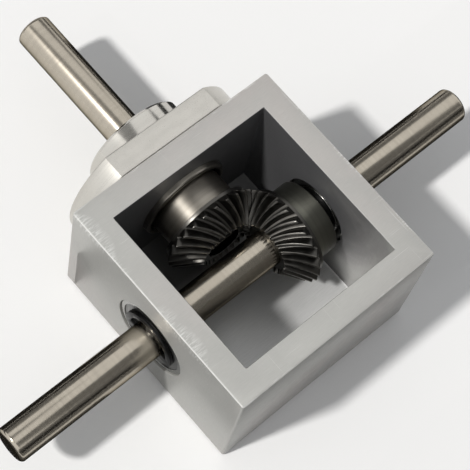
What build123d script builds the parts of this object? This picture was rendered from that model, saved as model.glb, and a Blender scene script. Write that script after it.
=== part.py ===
from build123d import *
from math import acos, cos, degrees, pi, radians, sin, sqrt, tan
import os

# All sizes are in millimetres and angles in degrees.
# X runs along the through shaft, Y along the input shaft, and Z out of the open side of the box.
# The origin is in the middle of the box's base, below the point where the two shaft axes cross.

# Ball bearings, all four alike
shaft_diameter = 12.0
bearing_diameter = 28.0
bearing_width = 7.0
ball_diameter = 4.76
ball_count = 8
ball_play = 0.05
race_land_gap = 2.8
race_chamfer = 0.4
shield_thickness = 0.3
shield_setback = 0.3
shield_gap = 0.2
shield_grip = 0.9
cage_pocket_play = 0.08
cage_back = 0.15
cage_front = 0.8
cage_thickness = 1.6

# Box
housing_x = 76.0
housing_y = 76.0
housing_height = 50.0
shaft_height = 25.0
floor_thickness = 2.5
bearing_recess = 0.5
bearing_shoulder = 1.0
shoulder_hole_diameter = 24.0
cavity_corner_radius = 1.0
base_edge_radius = 1.5
side_edge_radius = 0.8
rim_chamfer = 0.3
base_hole_diameter = 4.2
base_hole_depth = 10.0

# Input flange
disc_diameter = 63.0
disc_thickness = 8.0
nose_diameter = 34.5
nose_length = 8.2
nose_chamfer = 0.8
pilot_diameter = 31.0
pilot_proud = 2.0
pilot_edge_radius = 0.9
inner_pocket_depth = 9.0

# Flange screws
screw_diameter = 4.0
screw_length = 10.0
screw_hole_diameter = 4.5
screw_hole_spare = 0.8
screw_head_diameter = 7.0
screw_head_height = 4.0
screw_head_sink = 0.4
screw_head_play = 0.3
screw_socket_width = 3.0
screw_socket_depth = 2.0
screw_circle_diameter = 48.6
screw_count = 4

# Shafts
output_shaft_overhang = 53.0
input_shaft_overhang = 49.3
input_shaft_setback = 0.5
shaft_end_chamfer = 0.8

# E-clips
clip_diameter = 20.4
clip_thickness = 1.2
clip_groove_diameter = 10.0
clip_band = 2.2
clip_prong_width = 3.6
clip_mouth_drop = 3.5
clip_tip_height = 3.0

# Spiral bevel gears, one on each shaft, both alike but for the hand of the spiral
tooth_count = 24
pitch_radius = 16.5
face_width = 11.0
pressure_angle = 20.0
mean_spiral_angle = 22.5
cutter_radius = 25.0
dedendum_factor = 1.2
backlash = 0.3
tooth_foot = 0.5
flank_points = 6
flank_sections = 5
gear_rim_thickness = 1.2
hub_diameter = 25.5
hub_chamfer = 0.5
output_hub_gap = 2.4
input_hub_gap = 1.2
spacer_diameter = 16.6

# Set screws of the gear hubs
set_screw_diameter = 4.0
set_screw_length = 6.0
set_screw_socket_width = 2.0
set_screw_socket_depth = 2.4
set_screw_flat_depth = 0.5
set_screw_flat_length = 7.0
# These turn local X towards the box's floor, where the set screws sit at rest.
output_screw_turn = -90
input_screw_turn = 90

# Sizes that follow from the ones above
shaft_radius = shaft_diameter / 2
bearing_radius = bearing_diameter / 2
wall = bearing_recess + bearing_width + bearing_shoulder
half_x = housing_x / 2
half_y = housing_y / 2
cavity_x = half_x - wall
cavity_y = half_y - wall
ball_orbit_radius = (shaft_radius + bearing_radius) / 2
output_bearing_x = half_x - bearing_recess - bearing_width / 2
pilot_end_y = cavity_y - pilot_proud
inner_pocket_end_y = pilot_end_y + inner_pocket_depth
inner_bearing_y = inner_pocket_end_y - bearing_width / 2
disc_end_y = half_y + disc_thickness
nose_end_y = disc_end_y + nose_length
outer_bearing_y = nose_end_y - bearing_recess - bearing_width / 2

cone_distance = pitch_radius * sqrt(2)
toe_radius = pitch_radius - face_width / sqrt(2)
mean_cone_distance = cone_distance - face_width / 2
addendum_ratio = sqrt(2) / tooth_count
tip_ratio = 1 + addendum_ratio
root_ratio = 1 - dedendum_factor * addendum_ratio
gear_front = toe_radius * (2 - root_ratio)
gear_back = pitch_radius * (2 - root_ratio) + gear_rim_thickness
output_hub_end = cavity_x - output_hub_gap
input_hub_end = inner_bearing_y - bearing_width / 2 - input_hub_gap
set_screw_depth = shaft_radius - set_screw_flat_depth

# Local frames: Z along each shaft, X towards the place where the two gears mesh
output_axis = Plane(origin=(0, 0, shaft_height), x_dir=(0, 1, 0), z_dir=(1, 0, 0))
left_output_axis = Plane(origin=(0, 0, shaft_height), x_dir=(0, 1, 0), z_dir=(-1, 0, 0))
input_axis = Plane(origin=(0, 0, shaft_height), x_dir=(1, 0, 0), z_dir=(0, 1, 0))


def revolved(corners):
    """A body of revolution about Z, from its outline's (radius, height) corners."""
    outline = Polyline([(radius, 0, height) for radius, height in corners], close=True)
    return revolve(make_face(outline), Axis.Z, 360)


def rod(diameter, start, end):
    """A round bar along Z from start to end."""
    middle = (start + end) / 2
    return Pos(0, 0, middle) * Cylinder(diameter / 2, end - start)


def tube(outer_diameter, inner_diameter, start, end):
    """A round tube along Z from start to end."""
    return rod(outer_diameter, start, end) - rod(inner_diameter, start, end)


def hexagon_socket(width, depth, top):
    """The hexagonal recess of a socket screw, sunk below top."""
    outline = RegularPolygon(width / 2, 6, major_radius=False)
    return Pos(0, 0, top - depth) * extrude(outline, depth)


def housing():
    """The box: four walls and a thin floor, with the bearing seats, the pilot hole and tapped holes."""
    box = Pos(0, 0, housing_height / 2) * Box(housing_x, housing_y, housing_height)
    box = fillet(box.edges().filter_by(Axis.Z), side_edge_radius)
    box = fillet(box.faces().sort_by(Axis.Z)[0].edges(), base_edge_radius)
    box = chamfer(box.faces().sort_by(Axis.Z)[-1].edges(), rim_chamfer)
    cavity_height = housing_height - floor_thickness
    cavity = Box(2 * cavity_x, 2 * cavity_y, cavity_height)
    cavity = fillet(cavity.edges().filter_by(Axis.Z), cavity_corner_radius)
    box -= Pos(0, 0, floor_thickness + cavity_height / 2) * cavity
    seat_bottom = half_x - bearing_recess - bearing_width
    for side in (output_axis, left_output_axis):
        box -= side * rod(bearing_diameter, seat_bottom, half_x)
        box -= side * rod(shoulder_hole_diameter, cavity_x, half_x)
    box -= input_axis * rod(pilot_diameter, cavity_y, half_y)
    tapped_depth = screw_length + screw_head_height + screw_head_sink - disc_thickness + screw_hole_spare
    for spot in screw_places():
        box -= input_axis * spot * rod(screw_diameter, half_y - tapped_depth, half_y)
    for spot in base_hole_places():
        box -= spot * rod(base_hole_diameter, 0, base_hole_depth)
    return box


def screw_places():
    """Where the flange screws stand, seen along the input axis."""
    return [loc for loc in PolarLocations(screw_circle_diameter / 2, screw_count, 180 / screw_count)]


def base_hole_places():
    """The tapped holes under the four corners, in the middle of the walls' thickness."""
    along_x = housing_x - wall
    along_y = housing_y - wall
    return [loc for loc in GridLocations(along_x, along_y, 2, 2)]


def input_flange():
    """Disc, nose and pilot ring in one turned piece, with its two bearing pockets."""
    disc = rod(disc_diameter, half_y, disc_end_y)
    nose = rod(nose_diameter, half_y, nose_end_y)
    nose = chamfer(nose.faces().sort_by(Axis.Z)[-1].edges(), nose_chamfer)
    pilot = rod(pilot_diameter, pilot_end_y, half_y)
    pilot = fillet(pilot.faces().sort_by(Axis.Z)[0].edges(), pilot_edge_radius)
    body = disc + nose + pilot
    body -= rod(bearing_diameter, pilot_end_y, inner_pocket_end_y)
    body -= rod(shoulder_hole_diameter, pilot_end_y, nose_end_y)
    body -= rod(bearing_diameter, outer_bearing_y - bearing_width / 2, nose_end_y)
    for spot in screw_places():
        body -= spot * rod(screw_hole_diameter, half_y, disc_end_y)
        head_seat = disc_end_y - screw_head_height - screw_head_sink
        body -= spot * rod(screw_head_diameter + 2 * screw_head_play, head_seat, disc_end_y)
    body = input_axis * body
    flats = Pos(0, 0, housing_height / 2) * Box(housing_x, 2 * nose_end_y, housing_height)
    return body & flats


def flange_screws():
    """Socket head screws, sunk in the disc and screwed into the wall."""
    head_bottom = disc_end_y - screw_head_height - screw_head_sink
    head_top = head_bottom + screw_head_height
    screw = rod(screw_head_diameter, head_bottom, head_top)
    screw -= hexagon_socket(screw_socket_width, screw_socket_depth, head_top)
    screw += rod(screw_diameter, head_bottom - screw_length, head_bottom)
    return Compound([input_axis * spot * screw for spot in screw_places()])


def chamfered_shaft(start, end):
    """A round bar with a small chamfer at both ends."""
    bar = rod(shaft_diameter, start, end)
    return chamfer(bar.edges().filter_by(GeomType.CIRCLE), shaft_end_chamfer)


def clip_groove(start):
    """The groove that takes an E-clip."""
    return tube(2 * shaft_diameter, clip_groove_diameter, start, start + clip_thickness)


def set_screw_flat(middle):
    """The flat that the set screw bears on, on the side of local X."""
    flat = Box(shaft_diameter, shaft_diameter, set_screw_flat_length)
    return Pos(set_screw_depth + shaft_diameter / 2, 0, middle) * flat


def hub_middle(hub_end):
    """Halfway along a gear's hub."""
    return (gear_back + hub_end) / 2


def output_shaft():
    """The through shaft, with an E-clip groove outside each bearing."""
    length_from_middle = half_x + output_shaft_overhang
    bar = chamfered_shaft(-length_from_middle, length_from_middle)
    clip_start = half_x - bearing_recess
    bar -= clip_groove(clip_start)
    bar -= Rot(180, 0, 0) * clip_groove(clip_start)
    bar -= Rot(0, 0, output_screw_turn) * set_screw_flat(hub_middle(output_hub_end))
    return output_axis * bar


def input_shaft():
    """The input shaft, from just inside the gear's front face to its free end."""
    bar = chamfered_shaft(gear_front - input_shaft_setback, nose_end_y + input_shaft_overhang)
    bar -= clip_groove(nose_end_y - bearing_recess)
    bar -= Rot(0, 0, input_screw_turn) * set_screw_flat(hub_middle(input_hub_end))
    return input_axis * bar


def trace_angle(distance):
    """How far the tooth has turned about the gear's axis at this distance from the cones' apex.

    On the flat crown gear the tooth is an arc of the cutter's circle. The arc's centre lies so that
    the arc crosses the middle of the face at the mean spiral angle.
    """
    lean = 2 * mean_cone_distance * cutter_radius * sin(radians(mean_spiral_angle))
    centre_squared = mean_cone_distance ** 2 + cutter_radius ** 2 - lean

    def crown_angle(reach):
        top = reach ** 2 + centre_squared - cutter_radius ** 2
        return acos(top / (2 * reach * sqrt(centre_squared)))

    return (crown_angle(mean_cone_distance) - crown_angle(distance)) * sqrt(2)


def half_tooth_angle(ratio, distance):
    """Half the tooth's angle about the gear's axis.

    ratio is the place on the back cone's developed circle, 1 at the pitch circle, and the flank is an
    involute there. distance is measured along the pitch cone from the apex.
    """
    base_ratio = cos(radians(pressure_angle))
    local_angle = acos(min(1.0, base_ratio / max(ratio, base_ratio)))
    pitch_pressure = radians(pressure_angle)
    involute_gap = tan(pitch_pressure) - pitch_pressure - tan(local_angle) + local_angle
    half_pitch_tooth = pi * addendum_ratio / 4 - backlash / 4 / distance
    return (half_pitch_tooth + involute_gap) * sqrt(2)


def tooth_section(height, hand):
    """One tooth's outline in the plane at this height above the apex, with its foot inside the root."""
    foot_ratio = root_ratio - tooth_foot / cone_distance
    rise = (tip_ratio - foot_ratio) / (flank_points - 1)
    ratios = [foot_ratio + rise * index for index in range(flank_points)]
    right = []
    left = []
    for ratio in ratios:
        distance = height * sqrt(2) / (2 - ratio)
        radius = distance * ratio / sqrt(2)
        turn = hand * trace_angle(distance)
        half = half_tooth_angle(ratio, distance)
        right.append((radius * cos(turn - half), radius * sin(turn - half)))
        left.append((radius * cos(turn + half), radius * sin(turn + half)))
    left.reverse()
    outline = [Spline(*right), Line(right[-1], left[0]), Spline(*left), Line(left[-1], right[0])]
    return Pos(0, 0, height) * make_face(Wire(outline))


def tooth(hand):
    """One spiral bevel tooth: a loft through level sections, trimmed by the two back cones."""
    lowest = toe_radius * (2 - tip_ratio) - tooth_foot
    highest = pitch_radius * (2 - root_ratio) + tooth_foot
    rise = (highest - lowest) / (flank_sections - 1)
    heights = [lowest + rise * index for index in range(flank_sections)]
    rough = loft([tooth_section(height, hand) for height in heights], ruled=True)
    inward = 2 * dedendum_factor * addendum_ratio * pitch_radius
    outward = 2 * addendum_ratio * pitch_radius
    face_ring = revolved([
        (toe_radius - inward, toe_radius + inward),
        (toe_radius + outward, toe_radius - outward),
        (pitch_radius + outward, pitch_radius - outward),
        (pitch_radius - inward, pitch_radius + inward),
    ])
    return rough & face_ring


def bevel_gear(hub_end, hand, phase, screw_turn):
    """A spiral bevel gear on Z with its apex at the origin: root cone, teeth, rim, hub and bore."""
    heel_root_radius = pitch_radius * root_ratio
    blank = revolved([
        (shaft_radius, gear_front),
        (toe_radius * root_ratio, gear_front),
        (heel_root_radius, pitch_radius * (2 - root_ratio)),
        (heel_root_radius, gear_back),
        (hub_diameter / 2, gear_back),
        (hub_diameter / 2, hub_end - hub_chamfer),
        (hub_diameter / 2 - hub_chamfer, hub_end),
        (shaft_radius, hub_end),
    ])
    one = tooth(hand)
    pitch = 360 / tooth_count
    teeth = [Rot(0, 0, phase + pitch * index) * one for index in range(tooth_count)]
    gear = blank + teeth
    hole = Rot(0, 90, 0) * rod(set_screw_diameter, shaft_radius / 2, hub_diameter)
    return gear - Rot(0, 0, screw_turn) * Pos(0, 0, hub_middle(hub_end)) * hole


def set_screw(hub_end, screw_turn):
    """Headless screw from the shaft's flat out into the hub."""
    screw_end = set_screw_depth + set_screw_length
    screw = rod(set_screw_diameter, set_screw_depth, screw_end)
    screw -= hexagon_socket(set_screw_socket_width, set_screw_socket_depth, screw_end)
    return Rot(0, 0, screw_turn) * Pos(0, 0, hub_middle(hub_end)) * Rot(0, 90, 0) * screw


def e_clip():
    """E-clip about Z from height 0: a band open towards local -Y with three prongs to the groove."""
    radius = clip_diameter / 2
    groove_radius = clip_groove_diameter / 2
    reach = radius - clip_band / 2
    outline = Circle(radius) - Circle(radius - clip_band)
    prong = Pos(reach / 2, 0) * Rectangle(reach, clip_prong_width)
    outline += Rot(0, 0, 90) * prong
    tip_middle = clip_tip_height / 2 - clip_mouth_drop
    for side in (-1, 1):
        outline += Pos(side * reach / 2, tip_middle) * Rectangle(reach, clip_tip_height)
    outline -= Circle(groove_radius)
    outline -= Pos(0, -clip_mouth_drop - radius) * Rectangle(2 * radius, 2 * radius)
    return extrude(outline, clip_thickness)


def outer_race():
    """Outer race about Z, centred on the balls, with a step for each shield."""
    half_width = bearing_width / 2
    land_radius = ball_orbit_radius + race_land_gap / 2
    race = tube(bearing_diameter, 2 * land_radius, -half_width, half_width)
    for side in (0, 180):
        step = rod(2 * (land_radius + shield_grip), half_width - shield_setback - shield_thickness, half_width)
        race -= Rot(side, 0, 0) * step
    race -= ball_track()
    outer_rims = race.edges().filter_by(GeomType.CIRCLE).group_by(SortBy.RADIUS)[-1]
    return chamfer(outer_rims, race_chamfer)


def inner_race():
    """Inner race about Z, centred on the balls."""
    half_width = bearing_width / 2
    land_radius = ball_orbit_radius - race_land_gap / 2
    race = tube(2 * land_radius, shaft_diameter, -half_width, half_width)
    return race - ball_track()


def ball_track():
    """The ring-shaped space that the balls run in."""
    return Torus(ball_orbit_radius, ball_diameter / 2 + ball_play)


def ball_places():
    """The balls' middles."""
    return [loc for loc in PolarLocations(ball_orbit_radius, ball_count)]


def balls():
    """The balls, evenly spaced."""
    return Compound([spot * Sphere(ball_diameter / 2) for spot in ball_places()])


def cage():
    """One-piece cage: a ring beside the balls with an open pocket for each."""
    back = -ball_diameter / 2 - cage_pocket_play - cage_back
    outer = 2 * ball_orbit_radius + cage_thickness
    inner = 2 * ball_orbit_radius - cage_thickness
    ring = tube(outer, inner, back, cage_front)
    pocket = Sphere(ball_diameter / 2 + cage_pocket_play)
    return ring - [spot * pocket for spot in ball_places()]


def shields():
    """The two thin rings that close the bearing."""
    inner = 2 * (ball_orbit_radius - race_land_gap / 2 + shield_gap)
    outer = 2 * (ball_orbit_radius + race_land_gap / 2 + shield_grip)
    top = bearing_width / 2 - shield_setback
    shield = tube(outer, inner, top - shield_thickness, top)
    return Compound([shield, Rot(180, 0, 0) * shield])


def bearing(name, place):
    """The five pieces of one bearing, put in place."""
    pieces = {
        "outer_race": outer_race(),
        "inner_race": inner_race(),
        "balls": balls(),
        "cage": cage(),
        "shields": shields(),
    }
    return {f"{name}_{piece}": place * shape for piece, shape in pieces.items()}


def all_pieces():
    """Every piece of the gearbox, by name."""
    clip_start = half_x - bearing_recess
    input_clip_start = nose_end_y - bearing_recess
    spacer_end = output_bearing_x - bearing_width / 2
    shim_end = inner_bearing_y - bearing_width / 2
    sleeve_start = inner_bearing_y + bearing_width / 2
    sleeve_end = outer_bearing_y - bearing_width / 2
    half_pitch = 180 / tooth_count
    pieces = {
        "housing": housing(),
        "input_flange": input_flange(),
        "flange_screws": flange_screws(),
        "output_shaft": output_shaft(),
        "output_gear": output_axis * bevel_gear(output_hub_end, 1, 0, output_screw_turn),
        "output_gear_set_screw": output_axis * set_screw(output_hub_end, output_screw_turn),
        "output_gear_spacer": output_axis * tube(spacer_diameter, shaft_diameter, output_hub_end, spacer_end),
        "output_clip_right": output_axis * Pos(0, 0, clip_start) * e_clip(),
        "output_clip_left": left_output_axis * Rot(0, 0, 180) * Pos(0, 0, clip_start) * e_clip(),
        "input_shaft": input_shaft(),
        "input_gear": input_axis * bevel_gear(input_hub_end, -1, half_pitch, input_screw_turn),
        "input_gear_set_screw": input_axis * set_screw(input_hub_end, input_screw_turn),
        "input_gear_shim": input_axis * tube(spacer_diameter, shaft_diameter, input_hub_end, shim_end),
        "input_bearing_spacer": input_axis * tube(spacer_diameter, shaft_diameter, sleeve_start, sleeve_end),
        "input_clip": input_axis * Rot(0, 0, 180) * Pos(0, 0, input_clip_start) * e_clip(),
    }
    pieces.update(bearing("left_output_bearing", left_output_axis * Pos(0, 0, output_bearing_x)))
    pieces.update(bearing("right_output_bearing", output_axis * Pos(0, 0, output_bearing_x)))
    pieces.update(bearing("inner_input_bearing", input_axis * Pos(0, 0, inner_bearing_y)))
    pieces.update(bearing("outer_input_bearing", input_axis * Pos(0, 0, outer_bearing_y)))
    return pieces


os.makedirs("parts", exist_ok=True)
for node, shape in all_pieces().items():
    export_step(shape, f"parts/{node}.step")
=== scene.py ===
"""The looks of a dual output bevel gearbox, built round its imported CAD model."""

from math import acos, asin, atan2, cos, pi, radians, sin, sqrt, tan

import bmesh
import bpy
from bpy.props import FloatProperty, FloatVectorProperty, IntProperty, PointerProperty
from mathutils import Matrix, Vector


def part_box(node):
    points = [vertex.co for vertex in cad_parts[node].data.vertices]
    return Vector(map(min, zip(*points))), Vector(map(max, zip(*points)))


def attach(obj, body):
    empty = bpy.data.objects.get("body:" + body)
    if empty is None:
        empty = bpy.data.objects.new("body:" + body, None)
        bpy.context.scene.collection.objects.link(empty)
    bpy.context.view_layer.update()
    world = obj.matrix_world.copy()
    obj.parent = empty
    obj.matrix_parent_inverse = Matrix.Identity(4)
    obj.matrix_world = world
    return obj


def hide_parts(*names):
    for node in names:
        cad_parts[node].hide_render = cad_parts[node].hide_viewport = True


bl_info = {
    "name": "Dual output bevel gearbox",
    "version": (1, 0, 0),
    "blender": (4, 5, 0),
    "location": "3D View > Sidebar > Gearbox",
    "description": "Machined pieces, finishes and studio of an open right-angle gearbox",
    "category": "Object",
}

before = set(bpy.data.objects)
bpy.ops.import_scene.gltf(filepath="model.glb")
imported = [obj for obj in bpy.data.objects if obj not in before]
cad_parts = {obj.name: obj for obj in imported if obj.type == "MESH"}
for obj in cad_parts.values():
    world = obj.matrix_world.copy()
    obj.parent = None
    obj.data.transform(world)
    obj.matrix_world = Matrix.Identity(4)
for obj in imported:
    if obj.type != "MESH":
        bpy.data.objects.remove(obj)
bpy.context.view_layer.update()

MM = 0.001
UP = (0, 0, 1)
OUTPUT_AXIS = (1, 0, 0)
LEFT_AXIS = (-1, 0, 0)
INPUT_AXIS = (0, 1, 0)
BEARINGS = {
    "left_output_bearing": ("output", LEFT_AXIS),
    "right_output_bearing": ("output", OUTPUT_AXIS),
    "inner_input_bearing": ("input", INPUT_AXIS),
    "outer_input_bearing": ("input", INPUT_AXIS),
}
LATHE_SEGMENTS = 144
SEAT_SEGMENTS = 64
SCREW_SEGMENTS = 48
BORE_PLAY = 0.02 * MM
CUT_REACH = 3 * MM
GEAR_BORE_EDGE = 0.2 * MM
TOOTH_FOOT_STEP = 0.05 * MM
SCREW_TURNS = [radians(45 + 90 * index) for index in range(4)]


# Properties


def length(name, description, millimetres):
    """A length that the user can change, given in millimetres."""
    default = millimetres * MM
    return FloatProperty(name=name, description=description, default=default, unit="LENGTH", precision=5)


def angle(name, description, degrees):
    """An angle that the user can change, given in degrees."""
    return FloatProperty(name=name, description=description, default=radians(degrees), subtype="ANGLE")


def share(name, description, value):
    """A plain number that the user can change."""
    return FloatProperty(name=name, description=description, default=value, precision=3)


def triple(name, description, value, sort, **more):
    """A place, a direction or a colour that the user can change."""
    return FloatVectorProperty(name=name, description=description, default=value, subtype=sort, **more)


def colour(name, description, value):
    """A colour that the user can change."""
    return triple(name, description, value, "COLOR", min=0, max=1)


class GearboxSizes(bpy.types.PropertyGroup):
    """Sizes that the frame's boxes don't give."""

    wall: length("Wall", "Thickness of the box's walls", 8.5)
    floor: length("Floor", "Thickness of the box's closed back", 2.5)
    cavity_corner: length("Cavity corner", "Radius in the cavity's corners", 0.5)
    side_edge: length("Side edge", "Rounding of the box's four long edges", 0.8)
    base_edge: length("Base edge", "Rounding round the box's base", 1.5)
    small_chamfer: length("Small chamfer", "Broken edge on machined corners", 0.3)
    shoulder_radius: length("Shoulder hole", "Radius of the hole behind each bearing", 12.0)
    base_hole_radius: length("Base hole", "Radius of the tapped holes in the base", 2.1)
    base_hole_depth: length("Base hole depth", "Depth of the tapped holes in the base", 10.0)
    disc_thickness: length("Disc", "Thickness of the flange's disc", 8.0)
    nose_radius: length("Nose", "Radius of the flange's nose", 17.25)
    nose_chamfer: length("Nose chamfer", "Broken edge round the nose", 0.8)
    pilot_radius: length("Pilot", "Radius of the ring that stands inside the box", 15.5)
    pilot_edge: length("Pilot edge", "Rounding of the pilot ring's free edge", 0.9)
    screw_circle: length("Screw circle", "Radius of the circle that the flange screws stand on", 24.3)
    screw_hole_radius: length("Screw hole", "Radius of the sunk seat of a flange screw", 3.8)
    screw_seat_depth: length("Screw seat", "Depth of the sunk seat of a flange screw", 4.4)
    shaft_chamfer: length("Shaft chamfer", "Chamfer on the shafts' ends", 0.8)
    shaft_end_round: length("Shaft end rounding", "Rounding of the chamfer's two edges", 1.1)
    groove_radius: length("Groove", "Radius at the bottom of the E-clip grooves", 5.0)
    hub_radius: length("Hub", "Radius of the gears' hubs", 12.75)
    hub_chamfer: length("Hub chamfer", "Broken edge of the hubs", 0.5)
    race_chamfer: length("Race chamfer", "Rounded corner of the outer races", 0.4)


class GearboxTeeth(bpy.types.PropertyGroup):
    """The spiral bevel teeth, alike on both gears but for the spiral's hand."""

    count: IntProperty(name="Teeth", description="Teeth on each gear", default=24, min=12, max=60)
    pitch_radius: length("Pitch radius", "Radius of the pitch circle at the heel", 16.5)
    face_width: length("Face width", "Length of the teeth along the pitch cone", 11.0)
    cutter_radius: length("Cutter radius", "Radius of the arc that the teeth follow", 25.0)
    spiral: angle("Spiral", "Spiral angle at the middle of the face", 22.5)
    pressure: angle("Pressure angle", "Slope of the flanks at the pitch circle", 20.0)
    dedendum: share("Dedendum", "Depth below the pitch cone, as a share of the height above it", 1.2)
    backlash: length("Backlash", "Play between the flanks", 0.3)
    rim: length("Rim", "Plain cylinder behind the teeth", 1.2)
    end_round: length("End rounding", "Rounding where the teeth meet their end faces", 0.16)


class GearboxColours(bpy.types.PropertyGroup):
    """Colours of the finishes."""

    aluminium: colour("Aluminium", "Milled box", (0.50, 0.498, 0.475))
    aluminium_warm: colour("Warm aluminium", "Warmer patches of the milled box", (0.525, 0.50, 0.48))
    bright: colour("Bright edge", "Metal rubbed bright along the edges", (0.80, 0.80, 0.78))
    # Painted shade: the cavity's walls and the +Y end of its floor take this colour.
    cavity: colour("Cavity", "Painted shade on the walls inside the box", (0.13, 0.13, 0.135))
    # Painted light: the cavity's floor takes this colour towards -Y.
    cavity_floor_light: colour("Cavity floor", "Floor inside the box, painted lighter as if lit", (0.74, 0.745, 0.74))
    flange: colour("Flange", "Turned flange", (0.62, 0.60, 0.555))
    # Painted shade: the flange's ring inside the box takes this colour.
    pilot: colour("Pilot", "Painted shade on the flange's ring inside the box", (0.24, 0.225, 0.195))
    steel: colour("Steel", "Ground shafts", (0.50, 0.455, 0.38))
    steel_dark: colour("Dark steel", "Darker streaks on the shafts", (0.40, 0.36, 0.30))
    oxide: colour("Black oxide", "Blackened gears", (0.10, 0.096, 0.088))
    crest: colour("Crest", "Metal showing on the teeth's crests", (0.19, 0.183, 0.168))
    input_hub: colour("Input hub", "Turned hub of the input gear", (0.34, 0.315, 0.275))
    output_hub: colour("Output hub", "Turned hub of the output gear", (0.19, 0.19, 0.16))
    # Also painted shade: the spacers and the input shaft's inner end take this colour.
    clip: colour("Clip", "Blackened clips and screws, and painted shade on spacers and a shaft end", (0.028, 0.028, 0.028))
    race: colour("Race", "Bearing steel", (0.38, 0.38, 0.365))
    shield: colour("Shield", "Pressed bearing shields", (0.24, 0.24, 0.235))
    cage: colour("Cage", "Moulded bearing cages", (0.5, 0.45, 0.36))
    ball: colour("Ball", "Polished balls", (0.72, 0.72, 0.73))
    stage_floor: colour("Floor", "Studio floor", (0.96, 0.96, 0.96))


class GearboxStudio(bpy.types.PropertyGroup):
    """Camera and light."""

    lens: FloatProperty(name="Lens", description="Focal length in millimetres", default=131.3)
    distance: length("Distance", "From the camera to the point that it looks at", 501.5)
    target: triple("Target", "Where the camera looks", (-0.005, 0.0034, 0.05), "TRANSLATION", precision=5)
    azimuth: angle("Azimuth", "Turn of the camera round the object, 0 looks along Y", -57.68)
    elevation: angle("Elevation", "Height of the camera above the horizon", 66.19)
    roll: angle("Roll", "Tilt of the camera about its own line of sight", 17.98)
    key_direction: triple("Key direction", "Towards the key light", (-0.605, 0.175, 0.777), "DIRECTION")
    key_strength: share("Key strength", "Strength of the key light", 2.35)
    key_spread: angle("Key spread", "Apparent width of the key light", 4.5)
    ambient: share("Ambient", "Strength of the light from all round", 0.38)
    dark_card: share("Dark cards", "How light the black cards look, which only mirror rays see", 0.03)
    grey_card: share("Grey cards", "How light the grey cards look, which only mirror rays see", 0.2)


def settings(kind):
    """The scene's own sizes, teeth, colours or studio."""
    return getattr(bpy.context.scene, f"gearbox_{kind}")


# Places


def stretch(node, direction=UP):
    """Where a CAD node starts and ends along a direction, which is an axis or its opposite."""
    axis = [abs(part) for part in direction].index(1)
    low, high = [corner[axis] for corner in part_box(node)]
    return (low, high) if direction[axis] > 0 else (-high, -low)


def radius_of(node):
    """Half the height of a round CAD node."""
    low, high = stretch(node)
    return (high - low) / 2


shaft_height = sum(stretch("output_shaft")) / 2
shaft_radius = radius_of("output_shaft")
bearing_radius = radius_of("left_output_bearing_outer_race")
half_box = stretch("housing", OUTPUT_AXIS)[1]
box_height = stretch("housing")[1]
disc_radius = stretch("input_flange", OUTPUT_AXIS)[1]


def shaft_frame(direction):
    """Local Z along a shaft from the point where the axes cross, local X towards the gears' mesh."""
    forward = Vector(direction)
    side = Vector(INPUT_AXIS if direction[0] else OUTPUT_AXIS)
    place = Matrix((side, forward.cross(side), forward)).transposed().to_4x4()
    place.translation = (0, 0, shaft_height)
    return place


def polar(radius, turn, height=0.0):
    """A point by its distance from Z, its turn about it and its height."""
    return Vector((radius * cos(turn), radius * sin(turn), height))


# Meshes


def new_object(name, data):
    """A new object at the origin, in the scene."""
    obj = bpy.data.objects.new(name, data)
    bpy.context.scene.collection.objects.link(obj)
    return obj


def mesh_object(points, faces, name="piece"):
    """A new mesh whose faces point outwards, as an object."""
    mesh = bpy.data.meshes.new(name)
    mesh.from_pydata([tuple(point) for point in points], [], faces)
    outward(mesh)
    return new_object(name, mesh)


def outward(mesh, *others, merge=False):
    """Adds other meshes to a mesh, merges its points and flat faces if asked, and turns it outwards."""
    work = bmesh.new()
    for part in (mesh, *others):
        work.from_mesh(part)
    if merge:
        bmesh.ops.remove_doubles(work, verts=work.verts, dist=0.002 * MM)
        bmesh.ops.dissolve_limit(work, angle_limit=radians(1), verts=work.verts, edges=work.edges)
    bmesh.ops.recalc_face_normals(work, faces=work.faces)
    work.to_mesh(mesh)
    work.free()


def skin(loops, capped, around=True):
    """A surface through loops, or open lines of points, capped at both ends or closed from last to first."""
    size = len(loops[0])
    starts = [index * size for index in range(len(loops))]
    faces = []
    for low, high in zip(starts, starts[1:] if capped else starts[1:] + starts[:1]):
        for index in range(size if around else size - 1):
            after = (index + 1) % size
            faces.append((low + index, low + after, high + after, high + index))
    if capped:
        faces.append(range(size)[::-1])
        faces.append(range(starts[-1], starts[-1] + size))
    return mesh_object([point for loop in loops for point in loop], faces)


def rounded(corners, steps=4):
    """A closed outline's (radius, height, rounding) corners as points, with the rounded ones as arcs."""
    points = []
    for index, (radius, height, rounding) in enumerate(corners):
        here = Vector((radius, height))
        if rounding == 0:
            points.append(here)
            continue
        back = (Vector(corners[index - 1][:2]) - here).normalized()
        onward = (Vector(corners[(index + 1) % len(corners)][:2]) - here).normalized()
        half_turn = back.angle(onward) / 2
        middle = here + (back + onward).normalized() * rounding / sin(half_turn)
        first = here + back * rounding / tan(half_turn) - middle
        last = here + onward * rounding / tan(half_turn) - middle
        start = atan2(first.y, first.x)
        swing = (atan2(last.y, last.x) - start + pi) % (2 * pi) - pi
        for step in range(steps + 1):
            points.append(middle + polar(rounding, start + swing * step / steps).xy)
    return points


def ring(radius, height, segments=LATHE_SEGMENTS):
    """A circle of points about local Z."""
    return [polar(radius, 2 * pi * index / segments, height) for index in range(segments)]


def turned(corners, direction, solid=False):
    """A piece turned about a shaft: a ring from its closed outline, or a solid one from its outside."""
    if solid:
        corners = [(0, corners[0][1], 0), *corners, (0, corners[-1][1], 0)]
    obj = skin([ring(point.x, point.y) for point in rounded(corners) if point.x > 0], solid)
    obj.data.transform(shaft_frame(direction))
    return obj


def round_cutter(profile, place, segments=LATHE_SEGMENTS):
    """A solid to cut with, from the radii and heights of its rings, moved to its place."""
    cutter = skin([ring(radius, height, segments) for radius, height in profile], True)
    cutter.data.transform(place)
    return cutter


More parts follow.
